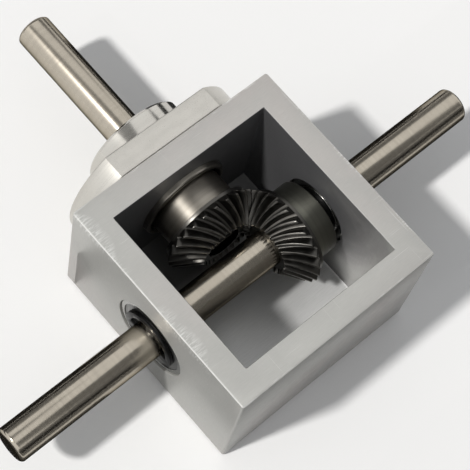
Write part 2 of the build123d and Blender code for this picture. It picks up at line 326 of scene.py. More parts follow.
def rounded_square(half, corner, height):
    """A rounded square of points about Z."""
    steps = 6
    points = []
    for quarter, (side_x, side_y) in enumerate([(1, 1), (-1, 1), (-1, -1), (1, -1)]):
        middle = Vector((side_x * (half - corner), side_y * (half - corner), height))
        for step in range(steps + 1):
            points.append(middle + polar(corner, (quarter + step / steps) * pi / 2))
    return points


def settle(obj):
    """Turns an object's modifiers into plain mesh."""
    evaluated = obj.evaluated_get(bpy.context.evaluated_depsgraph_get())
    mesh = bpy.data.meshes.new_from_object(evaluated)
    obj.modifiers.clear()
    obj.data = mesh
    return obj


def cut(obj, *cutters):
    """Takes the cutters out of an object and removes them."""
    for cutter in cutters:
        modifier = obj.modifiers.new("Cut", "BOOLEAN")
        modifier.object = cutter
        modifier.operation = "DIFFERENCE"
        modifier.solver = "EXACT"
    settle(obj)
    for cutter in cutters:
        bpy.data.objects.remove(cutter)
    return obj


def finish_piece(obj, node, material, body, sharp=32):
    """Names, smooths and paints a finished piece, and hangs it on its body in place of its CAD node."""
    obj.name = f"{node}_piece"
    mesh = obj.data
    mesh.name = obj.name
    mesh.materials.clear()
    mesh.materials.append(material)
    mesh.polygons.foreach_set("use_smooth", [True] * len(mesh.polygons))
    mesh.set_sharp_from_angle(angle=radians(sharp))
    mesh.update()
    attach(obj, body)
    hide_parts(node)


# Nodes


class Value:
    """A node's output, on which plain arithmetic works: each step adds one node."""

    def __init__(self, socket):
        self.socket = socket
        self.tree = socket.id_data

    def math(self, operation, other=0.0, swapped=False):
        """One step of arithmetic with a number or another value."""
        inputs = {0: other, 1: self} if swapped else {0: self, 1: other}
        return result(self.tree, "ShaderNodeMath", inputs, operation=operation)

    def clamped(self):
        """This step's result, kept between 0 and 1."""
        self.socket.node.use_clamp = True
        return self

    def __add__(self, other):
        return self.math("ADD", other)

    def __sub__(self, other):
        return self.math("SUBTRACT", other)

    def __rsub__(self, other):
        return self.math("SUBTRACT", other, swapped=True)

    def __mul__(self, other):
        return self.math("MULTIPLY", other)

    def __truediv__(self, other):
        return self.math("DIVIDE", other)

    def __rtruediv__(self, other):
        return self.math("DIVIDE", other, swapped=True)


def fill_inputs(made, inputs):
    """Links a node's inputs to other nodes or gives them values."""
    for name, value in inputs.items():
        if isinstance(value, Value):
            value.tree.links.new(value.socket, made.inputs[name])
        else:
            made.inputs[name].default_value = value


def add_node(tree, kind, inputs, **properties):
    """A node with its properties and inputs."""
    made = tree.nodes.new(kind)
    for name, value in properties.items():
        setattr(made, name, value)
    fill_inputs(made, inputs)
    return made


def result(tree, kind, inputs, output=0, **properties):
    """One output of a new node."""
    return Value(add_node(tree, kind, inputs, **properties).outputs[output])


def node_group(name, kind, inputs, outputs, body):
    """A node group with named inputs and outputs, filled by a function when it is first asked for."""
    tree = bpy.data.node_groups.get(name)
    if tree:
        return tree
    tree = bpy.data.node_groups.new(name, f"{kind}NodeTree")
    for in_out, sockets in (("INPUT", inputs), ("OUTPUT", outputs)):
        for socket, sort in sockets.items():
            tree.interface.new_socket(socket, in_out=in_out, socket_type=f"NodeSocket{sort}")
    given = tree.nodes.new("NodeGroupInput").outputs
    results = body(*[Value(given[socket]) for socket in inputs])
    fill_inputs(tree.nodes.new("NodeGroupOutput"), dict(zip(outputs, results)))
    return tree


# Geometry Nodes

RING_INPUTS = {
    "Geometry": "Geometry",
    "Count": "Int",
    "First turn": "Float",
    "Weld distance": "Float",
    "Material": "Material",
}


def ring_of_copies(geometry, count, first_turn, weld_distance, material):
    """Turns copies of a mesh about local Z into one welded and painted ring."""
    tree = geometry.tree
    points = result(tree, "GeometryNodeMeshLine", {"Count": count, "Offset": (0, 0, 0)})
    turn = result(tree, "GeometryNodeInputIndex", {}) * (2 * pi / count) + first_turn
    rotation = result(tree, "ShaderNodeCombineXYZ", {"Z": turn})
    placing = {"Points": points, "Instance": geometry, "Rotation": rotation}
    copies = result(tree, "GeometryNodeInstanceOnPoints", placing)
    real = result(tree, "GeometryNodeRealizeInstances", {"Geometry": copies})
    welded = result(tree, "GeometryNodeMergeByDistance", {"Geometry": real, "Distance": weld_distance})
    return [result(tree, "GeometryNodeSetMaterial", {"Geometry": welded, "Material": material})]


def repeat_round(obj, count, first_turn, material):
    """Repeats an object's mesh round local Z and welds the copies."""
    tree = node_group("Ring of copies", "Geometry", RING_INPUTS, {"Geometry": "Geometry"}, ring_of_copies)
    modifier = obj.modifiers.new("Ring of copies", "NODES")
    modifier.node_group = tree
    values = {"Count": count, "First turn": first_turn, "Weld distance": 0.001 * MM, "Material": material}
    for socket in tree.interface.items_tree:
        if socket.in_out == "INPUT" and socket.name in values:
            modifier[socket.identifier] = values[socket.name]
    settle(obj)


# Effects


def vector_math(operation, first, second=(0, 0, 0), output="Vector"):
    """One step of vector arithmetic."""
    inputs = {0: first, "Scale" if operation == "SCALE" else 1: second}
    tree = (first if isinstance(first, Value) else second).tree
    return result(tree, "ShaderNodeVectorMath", inputs, output, operation=operation)


def ramp(value, low, high, to_low=0.0, to_high=1.0):
    """A value mapped smoothly from one range to another."""
    inputs = {"Value": value, "From Min": low, "From Max": high, "To Min": to_low, "To Max": to_high}
    return result(value.tree, "ShaderNodeMapRange", inputs, interpolation_type="SMOOTHSTEP")


def mix(factor, first, second):
    """A colour between two colours."""
    first, second = [given if isinstance(given, Value) else (*given, 1.0) for given in (first, second)]
    inputs = {"Factor": factor, 6: first, 7: second}
    return result(factor.tree, "ShaderNodeMix", inputs, 2, data_type="RGBA")


def noise(vector, scale, detail, roughness=0.5, distortion=0.0):
    """Noise between 0 and 1."""
    inputs = {"Scale": scale, "Detail": detail, "Roughness": roughness, "Distortion": distortion}
    return result(vector.tree, "ShaderNodeTexNoise", {"Vector": vector, **inputs})


def slanted(position, rotation, scale):
    """Coordinates turned and stretched for marks that run one way."""
    inputs = {"Vector": position, "Rotation": rotation, "Scale": scale}
    return result(position.tree, "ShaderNodeMapping", inputs)


def shade(colour_value, amount):
    """A colour made darker or lighter."""
    return [min(1.0, part * amount) for part in colour_value]


def shader_group(name, inputs, outputs):
    """Makes a shader node group of a function: the function fills the group, and a call places it."""

    def around(body):
        def place(*values):
            tree = node_group(name, "Shader", inputs, dict.fromkeys(outputs, "Float"), body)
            made = add_node(values[0].tree, "ShaderNodeGroup", dict(zip(inputs, values)), node_tree=tree)
            return [Value(made.outputs[output]) for output in outputs]

        return place

    return around


@shader_group("Place on shaft", {"Position": "Vector", "Direction": "Vector"}, ("Along", "Out"))
def place_on_shaft(position, direction):
    """How far a point lies along a shaft from the crossing point, and how far out from its axis."""
    from_crossing = vector_math("SUBTRACT", position, (0, 0, shaft_height))
    reach = vector_math("DOT_PRODUCT", from_crossing, direction, "Value")
    off_axis = vector_math("SUBTRACT", from_crossing, vector_math("SCALE", direction, reach))
    return reach, vector_math("LENGTH", off_axis, output="Value")


@shader_group("Turning marks", {"Along": "Float", "Out": "Float", "Spacing": "Float"}, ("Lines", "Bands"))
def turning_marks(along, out, spacing):
    """Fine rings left by turning or grinding, on round sides and end faces alike."""
    steps = result(along.tree, "ShaderNodeCombineXYZ", {"X": along / spacing, "Y": out / spacing})
    return noise(steps, 1.0, 3.0, 0.6), noise(steps, 0.08, 2.0)


@shader_group("Handling", {"Position": "Vector"}, ("Blotches", "Scratches"))
def handling(position):
    """Soft blotches from oil and handling, with a few hairline scratches."""
    blotches = ramp(noise(position, 45.0, 4.0, 0.55, 0.6), 0.35, 0.68)
    hairs = noise(slanted(position, (0.5, 0.3, 0.7), (60.0, 2600.0, 900.0)), 1.0, 1.0, 0.4)
    crossed = noise(slanted(position, (0.2, 0.9, -0.8), (2400.0, 50.0, 800.0)), 1.0, 1.0, 0.4)
    return blotches, ramp(hairs.math("MAXIMUM", crossed), 0.74, 0.80)


@shader_group("Grain", {"Position": "Vector", "Scale": "Float", "Detail": "Float"}, ("Grain",))
def fine_grain(position, scale, detail):
    """The fine mottling of a blackened, polished or moulded skin."""
    return [noise(position, scale, detail, 0.6)]


def shaft_marks(position, direction, spacing):
    """A point's place on its shaft, and the turning marks and blotches there."""
    along, out = place_on_shaft(position, direction)
    lines, bands = turning_marks(along, out, spacing)
    return along, out, lines, bands, handling(position)[0]


# Materials


def new_material(name, metallic, roughness=0.5):
    """A new material, and the object coordinates in it."""
    material = bpy.data.materials.new(name)
    material.use_nodes = True
    fill_inputs(principled(material), {"Metallic": metallic, "Roughness": roughness})
    return material, result(material.node_tree, "ShaderNodeTexCoord", {}, "Object")


def principled(material):
    """A material's own shader."""
    return material.node_tree.nodes["Principled BSDF"]


def finish_material(material, base, roughness, height, depth, strength=0.4):
    """Links colour, roughness and relief to a material's shader."""
    relief = {"Strength": strength, "Distance": depth, "Height": height}
    normal = result(base.tree, "ShaderNodeBump", relief)
    fill_inputs(principled(material), {"Base Color": base, "Roughness": roughness, "Normal": normal})
    return material


def rubbed_edge(position, axes, farthest):
    """Where the box's outer front edges are rubbed bright, with smears inwards, most on the left."""
    away = half_box - farthest + (box_height - axes["Z"])
    left = ramp(axes["X"], -half_box + 7 * MM, -half_box + 3 * MM)
    line = (1.0 - away / (left * (0.35 * MM) + 0.3 * MM)).clamped()
    patches = noise(position, 55.0, 2.0, 0.5, 0.3)
    reach = ramp(patches, 0.46, 0.68, 0.2 * MM, 5.0 * MM) * (left * 0.75 + 0.25)
    fade = (1.0 - away / reach).clamped()
    strokes = slanted(position, (0.0, 0.0, 0.6), (260.0, 1900.0, 400.0))
    wisps = ramp(noise(strokes, 1.0, 3.0, 0.6, 0.6), 0.42, 0.66)
    return (line * 0.85).math("MAXIMUM", fade * wisps * 0.9)


def milled_aluminium():
    """The box: satin milled faces, rubbed bright along the front's outer edges; inside, painted shade on the
    walls and the floor's +Y end, and painted light on the rest of the floor.
    """
    colours = settings("colours")
    sizes = settings("sizes")
    material, position = new_material("Milled aluminium", 0.35)
    marks = noise(vector_math("MULTIPLY", position, (260.0, 9000.0, 260.0)), 1.0, 3.0, 0.65, 0.1)
    cross = noise(vector_math("MULTIPLY", position, (7000.0, 300.0, 4000.0)), 1.0, 3.0, 0.65, 0.1)
    blotches, scratches = handling(position)
    parts = add_node(position.tree, "ShaderNodeSeparateXYZ", {"Vector": position}).outputs
    axes = {part.name: Value(part) for part in parts}
    farthest = axes["X"].math("ABSOLUTE").math("MAXIMUM", axes["Y"].math("ABSOLUTE"))
    inside = farthest.math("LESS_THAN", half_box - sizes.wall + 0.1 * MM)
    walls = inside * axes["Z"].math("GREATER_THAN", sizes.floor + 0.3 * MM)
    metal = mix(ramp(noise(position, 14.0, 1.0), 0.4, 0.6), colours.aluminium, colours.aluminium_warm)
    metal = mix(blotches * 0.8, metal, shade(colours.aluminium, 0.92))
    metal = mix(scratches * 0.35, metal, colours.bright)
    # Painted light on the cavity's floor towards -Y; towards +Y the same mask turns negative and gives
    # painted shade.
    floor_light_and_shade = (inside - walls).clamped() * ramp(axes["Y"], 14 * MM, 4 * MM, -0.8, 1.0)
    metal = mix(floor_light_and_shade.math("MAXIMUM"), metal, colours.cavity_floor_light)
    # Painted shade on the cavity's walls, strongest towards +Y with blotchy edges, and on the floor's +Y
    # end.
    painted_wall_shade = walls * ramp(blotches * (-12 * MM) + axes["Y"], -44 * MM, -6 * MM, 0.3, 1.0)
    metal = mix(painted_wall_shade.math("MAXIMUM", (floor_light_and_shade * -1.0).clamped()), metal, colours.cavity)
    metal = vector_math("SCALE", metal, ramp(marks, 0.25, 0.75, 0.93, 1.05))
    rubbed = rubbed_edge(position, axes, farthest)
    rough = ramp(cross, 0.2, 0.8, 0.38, 0.5) + blotches * -0.05 + rubbed * -0.12
    relief = marks * 0.7 + cross * 0.3
    return finish_material(material, mix(rubbed, metal, colours.bright), rough, relief, 0.012 * MM, 0.35)


def turned_metal(name, direction, first, second, roughness, spacing, depth, rim=1.0, shaded_until=-1.0):
    """Metal turned or ground about a shaft's axis, with rings in tone, gloss and relief."""
    material, position = new_material(name, 1.0)
    principled(material).inputs["Specular Tint"].default_value = (rim, rim, rim, 1.0)
    along, _, lines, bands, blotches = shaft_marks(position, direction, spacing)
    metal = mix(ramp(bands, 0.35, 0.7, 0.0, 0.35), first, second)
    metal = mix(blotches * 0.3, metal, second)
    # Painted shade: black short of the given point along the shaft.
    metal = mix(along.math("LESS_THAN", shaded_until), metal, settings("colours").clip)
    rough = ramp(lines, 0.25, 0.75, roughness - 0.025, roughness + 0.035) + blotches * 0.04
    return finish_material(material, metal, rough, lines, depth)


def turned_flange():
    """The flange: turned all over, polished on its nose, with painted shade where its ring stands in the
    box.
    """
    colours = settings("colours")
    material, position = new_material("Turned aluminium", 1.0)
    along, _, lines, bands, blotches = shaft_marks(position, INPUT_AXIS, 0.16 * MM)
    nose_start = half_box + settings("sizes").disc_thickness + 0.3 * MM
    nose = ramp(along, nose_start, nose_start + 0.3 * MM)
    dull = shade(colours.flange, 0.88)
    metal = mix(ramp(bands, 0.35, 0.7, 0.0, 0.6), colours.flange, dull)
    metal = mix(blotches * 0.4, metal, dull)
    # Painted shade on the pilot ring, where it stands inside the box.
    metal = mix(ramp(along, half_box - 0.1 * MM, half_box - 0.6 * MM), metal, colours.pilot)
    rough = ramp(lines, 0.25, 0.75, 0.26, 0.36) + nose * -0.17
    return finish_material(material, metal, rough, lines * ramp(nose, 0.0, 1.0, 1.0, 0.3), 0.006 * MM)


def gear_steel(name, direction, hub_start, hub_colour):
    """Black oxide on the teeth, thin on their crests, and a turned hub."""
    colours = settings("colours")
    material, position = new_material(name, 1.0)
    along, out, lines, bands, blotches = shaft_marks(position, direction, 0.14 * MM)
    rise = (out - along) / (out + along)
    crest_rise = sqrt(2) / settings("teeth").count
    ragged = noise(position, 420.0, 2.0)
    crest = ramp(rise, crest_rise * 0.80, crest_rise * 0.98) * ramp(ragged, 0.3, 0.6, 0.6, 1.0)
    teeth = mix(crest, mix(blotches * 0.4, colours.oxide, colours.clip), colours.crest)
    hub = along.math("GREATER_THAN", hub_start)
    metal = mix(hub, teeth, mix(ramp(bands, 0.35, 0.7), hub_colour, shade(hub_colour, 0.8)))
    teeth_rough = ramp(ragged, 0.3, 0.7, 0.30, 0.40)
    rough = teeth_rough + hub * (ramp(lines, 0.3, 0.7, 0.28, 0.38) - teeth_rough)
    return finish_material(material, metal, rough, ragged * 0.15 + lines * hub, 0.01 * MM)


def plain_metal(name, first, roughness):
    """Blackened or polished metal with a fine mottled skin."""
    material, position = new_material(name, 1.0)
    grain = fine_grain(position, 700.0, 4.0)[0]
    metal = mix(ramp(grain, 0.35, 0.7), first, shade(first, 1.35))
    rough = ramp(grain, 0.3, 0.7, roughness - 0.06, roughness + 0.08) + handling(position)[1] * -0.1
    return finish_material(material, metal, rough, grain, 0.01 * MM, 0.3)


def moulded_cage():
    """The cages' moulded polymer."""
    polymer = settings("colours").cage
    material, position = new_material("Moulded cage", 0.0)
    grain = fine_grain(position, 1500.0, 3.0)[0]
    base = mix(ramp(grain, 0.3, 0.7), polymer, shade(polymer, 0.85))
    return finish_material(material, base, ramp(grain, 0.3, 0.7, 0.45, 0.6), grain, 0.01 * MM, 0.3)


# The box


def seat_cutter(direction):
    """What a bearing seat takes out of a wall, with its broken edges."""
    sizes = settings("sizes")
    edge = 0.4 * sizes.small_chamfer
    inner_face = half_box - sizes.wall
    seat = stretch("right_output_bearing_outer_race", OUTPUT_AXIS)[0]
    profile = [
        (bearing_radius + edge + CUT_REACH, half_box + CUT_REACH),
        (bearing_radius, half_box - edge),
        (bearing_radius, seat),
        (sizes.shoulder_radius, seat),
        (sizes.shoulder_radius, inner_face + edge),
        (sizes.shoulder_radius + edge + CUT_REACH, inner_face - CUT_REACH),
    ]
    return round_cutter(profile, shaft_frame(direction))


def pilot_cutter():
    """The hole that the flange's pilot ring passes through."""
    sizes = settings("sizes")
    edge = 0.6 * sizes.small_chamfer
    radius = sizes.pilot_radius + 2 * BORE_PLAY
    inner_face = half_box - sizes.wall
    profile = [
        (radius + edge + CUT_REACH, inner_face - CUT_REACH),
        (radius, inner_face + edge),
        (radius, half_box + CUT_REACH),
    ]
    return round_cutter(profile, shaft_frame(INPUT_AXIS))


def base_hole_cutter(place_x, place_y):
    """A tapped hole in the base, with its thread as fine grooves, and a drill's point."""
    sizes = settings("sizes")
    radius = sizes.base_hole_radius
    depth = sizes.base_hole_depth
    pitch = 0.8 * MM
    thread = 0.35 * MM
    profile = [(radius + 1.5 * MM, -MM), (radius + 0.4 * MM, 0.1 * MM)]
    for turn in range(int(depth / pitch) - 1):
        profile += [(radius, (turn + 0.75) * pitch), (radius + thread, (turn + 1.25) * pitch)]
    profile += [(radius, depth), (0.1 * MM, depth + radius / tan(radians(59)))]
    return round_cutter(profile, Matrix.Translation((place_x, place_y, 0)), SCREW_SEGMENTS)


def box_body():
    """The rounded outside of the box, without its cavity."""
    sizes = settings("sizes")
    loops = []
    steps = 5
    for step in range(steps + 1):
        turn = pi / 2 * step / steps
        inset = sizes.base_edge * (1 - sin(turn))
        corner = max(sizes.side_edge - inset, 0.05 * MM)
        loops.append(rounded_square(half_box - inset, corner, sizes.base_edge * (1 - cos(turn))))
    top = sizes.small_chamfer
    for inset, drop in ((0, top), (0.3 * top, 0.3 * top), (top, 0)):
        loops.append(rounded_square(half_box - inset, sizes.side_edge, box_height - drop))
    return skin(loops, True)


def cavity_cutter():
    """The cavity, flared where it meets the front face."""
    sizes = settings("sizes")
    half = half_box - sizes.wall
    foot = 0.25 * MM
    edge = 0.5 * sizes.small_chamfer
    beyond = 2 * MM
    profile = [
        (half - foot, sizes.floor),
        (half - 0.3 * foot, sizes.floor + 0.3 * foot),
        (half, sizes.floor + foot),
        (half, box_height - edge),
    ]
    loops = [rounded_square(reach, sizes.cavity_corner, height) for reach, height in profile]
    loops.append(rounded_square(half + edge + beyond, sizes.cavity_corner + beyond, box_height + beyond))
    return skin(loops, True)


class GEARBOX_OT_housing(bpy.types.Operator):
    """Builds the square box with its seats and holes"""

    bl_idname = "gearbox.housing"
    bl_label = "Box"

    def execute(self, context):
        hole_place = half_box - settings("sizes").wall / 2
        cutters = [cavity_cutter(), seat_cutter(OUTPUT_AXIS), seat_cutter(LEFT_AXIS), pilot_cutter()]
        for x in (-hole_place, hole_place):
            cutters += [base_hole_cutter(x, y) for y in (-hole_place, hole_place)]
        finish_piece(cut(box_body(), *cutters), "housing", milled_aluminium(), "box")
        return {"FINISHED"}


# The flange


def flat_sided_loop(radius, half_height, height):
    """A circle with a flat above and below, with points that line up from loop to loop."""
    round_points = 44
    flat_points = 36
    corner = asin(min(1.0, box_height / 2 / disc_radius))
    flat = half_height < radius
    own_corner = asin(half_height / radius) if flat else corner
    points = []
    for index in range(round_points):
        points.append(polar(radius, own_corner * (2 * index / round_points - 1), height))
    for index in range(flat_points):
        part = index / flat_points
        point = polar(radius, corner + (pi - 2 * corner) * part, height)
        if flat:
            point.xy = (radius * cos(own_corner) * (1 - 2 * part), half_height)
        points.append(point)
    return points + [Vector((-point.x, -point.y, height)) for point in points]


def flange_sections():
    """Radii and heights of the flange's section, on the nose's side and on the pilot ring's side."""
    sizes = settings("sizes")
    edge = sizes.small_chamfer
    shoulder = sizes.shoulder_radius
    start, end = stretch("input_flange", INPUT_AXIS)
    disc_end = half_box + sizes.disc_thickness
    inner_pocket = stretch("inner_input_bearing_outer_race", INPUT_AXIS)[1]
    outer_pocket = stretch("outer_input_bearing_outer_race", INPUT_AXIS)[0]
    nose_side = rounded([
        (shoulder, inner_pocket, 0),
        (shoulder, outer_pocket, 0),
        (bearing_radius, outer_pocket, 0),
        (bearing_radius, end - edge, 0.1 * MM),
        (bearing_radius + edge, end, 0.1 * MM),
        (sizes.nose_radius - sizes.nose_chamfer, end, 0.15 * MM),
        (sizes.nose_radius, end - sizes.nose_chamfer, 0.15 * MM),
        (sizes.nose_radius, disc_end, 0.3 * MM),
        (disc_radius - 2 * MM, disc_end, 0),
        (shoulder, disc_end, 0),
    ])[:-1]
    pilot_side = rounded([
        (disc_radius - 2 * MM, half_box, 0),
        (sizes.pilot_radius, half_box, 0),
        (sizes.pilot_radius, start, sizes.pilot_edge),
        (bearing_radius + edge, start, 0.1 * MM),
        (bearing_radius, start + edge, 0.1 * MM),
        (bearing_radius, inner_pocket, 0),
    ])
    return nose_side, pilot_side


def flange_body():
    """Disc, nose, pilot ring and bearing pockets as one turned skin, of which only the disc has flats."""
    disc_end = half_box + settings("sizes").disc_thickness
    half_height = box_height / 2
    inner_flat = half_height - 2 * MM
    nose_side, pilot_side = flange_sections()

    def inner_loop(point):
        return flat_sided_loop(point.x, inner_flat if point.x > inner_flat else 2 * disc_radius, point.y)

    rounding = 0.35 * MM
    quarter = [pi / 6 * step for step in range(4)]
    loops = [inner_loop(point) for point in nose_side]
    for height, side, turns in ((disc_end, -1, quarter[::-1]), (half_box, 1, quarter)):
        for turn in turns:
            inset = rounding * (1 - cos(turn))
            rise = side * rounding * (1 - sin(turn))
            loops.append(flat_sided_loop(disc_radius - inset, half_height - inset, height + rise))
    loops += [inner_loop(point) for point in pilot_side]
    obj = skin(loops, False)
    obj.data.transform(shaft_frame(INPUT_AXIS))
    return obj


def screw_seat_cutter(turn):
    """The sunk seat of one flange screw, with its broken edge."""
    sizes = settings("sizes")
    disc_end = half_box + sizes.disc_thickness
    radius = sizes.screw_hole_radius
    edge = sizes.small_chamfer
    profile = [
        (radius, disc_end - sizes.screw_seat_depth),
        (radius, disc_end - edge),
        (radius + edge + MM, disc_end + MM),
    ]
    place = shaft_frame(INPUT_AXIS) @ Matrix.Translation(polar(sizes.screw_circle, turn))
    return round_cutter(profile, place, SEAT_SEGMENTS)


class GEARBOX_OT_flange(bpy.types.Operator):
    """Builds the turned input flange"""

    bl_idname = "gearbox.flange"
    bl_label = "Input flange"

    def execute(self, context):
        flange = cut(flange_body(), *[screw_seat_cutter(turn) for turn in SCREW_TURNS])
        finish_piece(flange, "input_flange", turned_flange(), "box")
        return {"FINISHED"}


# Screws


def socket_screw(outside, socket_width, socket_depth, top):
    """A screw about local Z from its outside's radii and heights, with a hexagonal socket in its top."""
    loops = [ring(radius, height, SCREW_SEGMENTS) for radius, height in outside]
    lead = 0.12 * MM
    for widening, height in ((lead, top), (0, top - lead), (0, top - socket_depth)):
        hexagon = []
        for index in range(SCREW_SEGMENTS):
            turn = 2 * pi * index / SCREW_SEGMENTS
            reach = (socket_width / 2 + widening) / cos((turn + pi / 6) % (pi / 3) - pi / 6)
            hexagon.append(polar(reach, turn, height))
        loops.append(hexagon)
    return skin(loops, True)


class GEARBOX_OT_screws(bpy.types.Operator):
    """Builds the flange screws and the hubs' set screws"""

    bl_idname = "gearbox.screws"
    bl_label = "Screws"

    def execute(self, context):
        sizes = settings("sizes")
        black = plain_metal("Blackened screws", settings("colours").clip, 0.34)
        low, top = stretch("flange_screws", INPUT_AXIS)
        bottom = half_box + sizes.disc_thickness - sizes.screw_seat_depth
        head = 3.5 * MM
        stem = 2.0 * MM
        edge = 0.3 * MM
        outside = [(stem - 0.4 * MM, low), (stem, low + 0.4 * MM), (stem, bottom)]
        outside += [(head - 0.1 * MM, bottom), (head, bottom + 0.1 * MM), (head, top - edge)]
        outside += [(head - 0.3 * edge, top - 0.3 * edge), (head - edge, top)]
        screws = socket_screw(outside, 3 * MM, 2 * MM, top)
        screws.data.transform(Matrix.Translation((sizes.screw_circle, 0, 0)))
        repeat_round(screws, len(SCREW_TURNS), SCREW_TURNS[0], black)
        screws.data.transform(shaft_frame(INPUT_AXIS))
        finish_piece(screws, "flange_screws", black, "box")
        for body in ("output", "input"):
            self.set_screw(f"{body}_gear_set_screw", body, black)
        return {"FINISHED"}

    def set_screw(self, node, body, black):
        """A headless screw pointing from the box's floor up to the shaft."""
        low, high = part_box(node)
        radius = (high.x - low.x) / 2
        reach = high.z - low.z
        edge = 0.3 * MM
        outside = [(radius - edge, 0), (radius, edge), (radius, reach - edge), (radius - edge, reach)]
        screw = socket_screw(outside, 2 * MM, 2.4 * MM, reach)
        middle = Vector(((low.x + high.x) / 2, (low.y + high.y) / 2, high.z))
        screw.data.transform(Matrix.Translation(middle) @ Matrix.Rotation(pi, 4, "X"))
        finish_piece(screw, node, black, body)


# Shafts and spacers


class GEARBOX_OT_shafts(bpy.types.Operator):
    """Builds the through shaft, the input shaft and their spacers"""

    bl_idname = "gearbox.shafts"
    bl_label = "Shafts and spacers"

    def execute(self, context):
        # Painted shade: the input shaft's inner end, inside the gear's toe, is painted black.
        shaded_end = stretch("input_shaft", INPUT_AXIS)[0] + MM
        self.shaft("output", OUTPUT_AXIS, "X", ["output_clip_left", "output_clip_right"])
        self.shaft("input", INPUT_AXIS, "Y", ["input_clip"], shaded_end)
        # Painted shade: the spacers and shim are painted black, as the dark gaps they stand in.
        black = plain_metal("Spacers painted black as shade", settings("colours").clip, 0.4)
        self.spacer("output_gear_spacer", "output", OUTPUT_AXIS, black)
        self.spacer("input_gear_shim", "input", INPUT_AXIS, black)
        self.spacer("input_bearing_spacer", "input", INPUT_AXIS, black)
        return {"FINISHED"}

    def shaft(self, body, direction, letter, clips, shaded_until=-1.0):
        """A ground shaft with rounded ends and grooves for its clips."""
        sizes = settings("sizes")
        colours = settings("colours")
        start, end = stretch(f"{body}_shaft", direction)
        below = shaft_radius - sizes.shaft_chamfer
        soft = sizes.shaft_end_round
        corners = [(below, start, soft), (shaft_radius, start + sizes.shaft_chamfer, soft)]
        for clip in clips:
            low, high = stretch(clip, direction)
            corners += [(shaft_radius, low, 0), (sizes.groove_radius, low, 0)]
            corners += [(sizes.groove_radius, high, 0), (shaft_radius, high, 0)]
        corners += [(shaft_radius, end - sizes.shaft_chamfer, soft), (below, end, soft)]
        finish = {"roughness": 0.17, "spacing": 0.09 * MM, "depth": 0.0008 * MM, "rim": 0.1}
        tones = (colours.steel, colours.steel_dark)
        paint = turned_metal(f"Ground steel {letter}", direction, *tones, shaded_until=shaded_until, **finish)
        finish_piece(turned(corners, direction, solid=True), f"{body}_shaft", paint, body)

    def spacer(self, node, body, direction, paint):
        """A plain sleeve round a shaft."""
        start, end = stretch(node, direction)
        radius = radius_of(node)
        bore = shaft_radius + BORE_PLAY
        edge = 0.15 * MM
        corners = [(bore, start, 0), (radius, start, edge), (radius, end, edge), (bore, end, 0)]
        finish_piece(turned(corners, direction), node, paint, body)


# Gears


def trace_angle(teeth, distance):
    """How far a tooth has turned about its gear at this distance from the cones' apex."""
    middle = teeth.pitch_radius * sqrt(2) - teeth.face_width / 2
    lean = 2 * middle * teeth.cutter_radius * sin(teeth.spiral)
    centre_squared = middle**2 + teeth.cutter_radius**2 - lean

    def crown_angle(reach):
        top = reach**2 + centre_squared - teeth.cutter_radius**2
        return acos(top / (2 * reach * sqrt(centre_squared)))

    return (crown_angle(middle) - crown_angle(distance)) * sqrt(2)


def half_tooth_angle(teeth, ratio, distance):
    """Half a tooth's angle about its gear, at this ratio of the pitch circle, for an involute flank."""
    base_ratio = cos(teeth.pressure)
    local = acos(min(1.0, base_ratio / max(ratio, base_ratio)))
    gap = tan(teeth.pressure) - teeth.pressure - tan(local) + local
    addendum_ratio = sqrt(2) / teeth.count
    at_pitch = pi * addendum_ratio / 4 - teeth.backlash / 4 / distance
    return (at_pitch + gap) * sqrt(2)


def tooth_profile(teeth, distance, trim):
    """(ratio, angle) points across one pitch, valley to valley, with the tooth trimmed in by a share."""
    addendum_ratio = sqrt(2) / teeth.count
    tip = 1 + addendum_ratio
    root = 1 - teeth.dedendum * addendum_ratio
    depth = tip - root
    half_pitch = pi / teeth.count
    foot_angle = half_tooth_angle(teeth, root + 0.16 * depth, distance)
    valley = half_pitch - foot_angle
    side = [
        (root, half_pitch),
        (root, half_pitch - 0.45 * valley),
        (root + 0.02 * depth, half_pitch - 0.72 * valley),
        (root + 0.07 * depth, half_pitch - 0.91 * valley),
    ]
    flank_steps = 7
    for step in range(flank_steps + 1):
        ratio = root + depth * (0.16 + 0.76 * step / flank_steps)
        side.append((ratio, half_tooth_angle(teeth, ratio, distance)))
    top_angle = half_tooth_angle(teeth, tip - 0.08 * depth, distance)
    side += [(tip - 0.02 * depth, top_angle * 0.88), (tip, top_angle * 0.66)]
    trimmed = []
    for ratio, turn in side:
        loss = (ratio - root) * trim
        trimmed.append((ratio - loss, turn * (1 - loss / depth)))
    left = [(ratio, -turn) for ratio, turn in trimmed]
    return left + [(tip - (tip - root) * trim, 0.0)] + trimmed[::-1]


def gap_bottom(teeth, distance):
    """Radius and height of the bottom of the gaps between teeth, at this distance from the cones' apex."""
    root = 1 - teeth.dedendum * sqrt(2) / teeth.count
    return distance * root / sqrt(2), distance * (2 - root) / sqrt(2)


def gear_back(teeth, hub_end):
    """Radii and heights over a gear's hub and back, from the bore to the foot of the teeth."""
    sizes = settings("sizes")
    radius, height = gap_bottom(teeth, teeth.pitch_radius * sqrt(2))
    bore = shaft_radius + BORE_PLAY
    back = height + teeth.rim
    outline = rounded([
        (bore, back, 0),
        (bore, hub_end, GEAR_BORE_EDGE),
        (sizes.hub_radius, hub_end, sizes.hub_chamfer),
        (sizes.hub_radius, back, 0.35 * MM),
        (radius, back, 0.2 * MM),
        (radius, height, 0),
    ])[1:-1]
    return outline + [Vector((radius - TOOTH_FOOT_STEP, height + TOOTH_FOOT_STEP))]


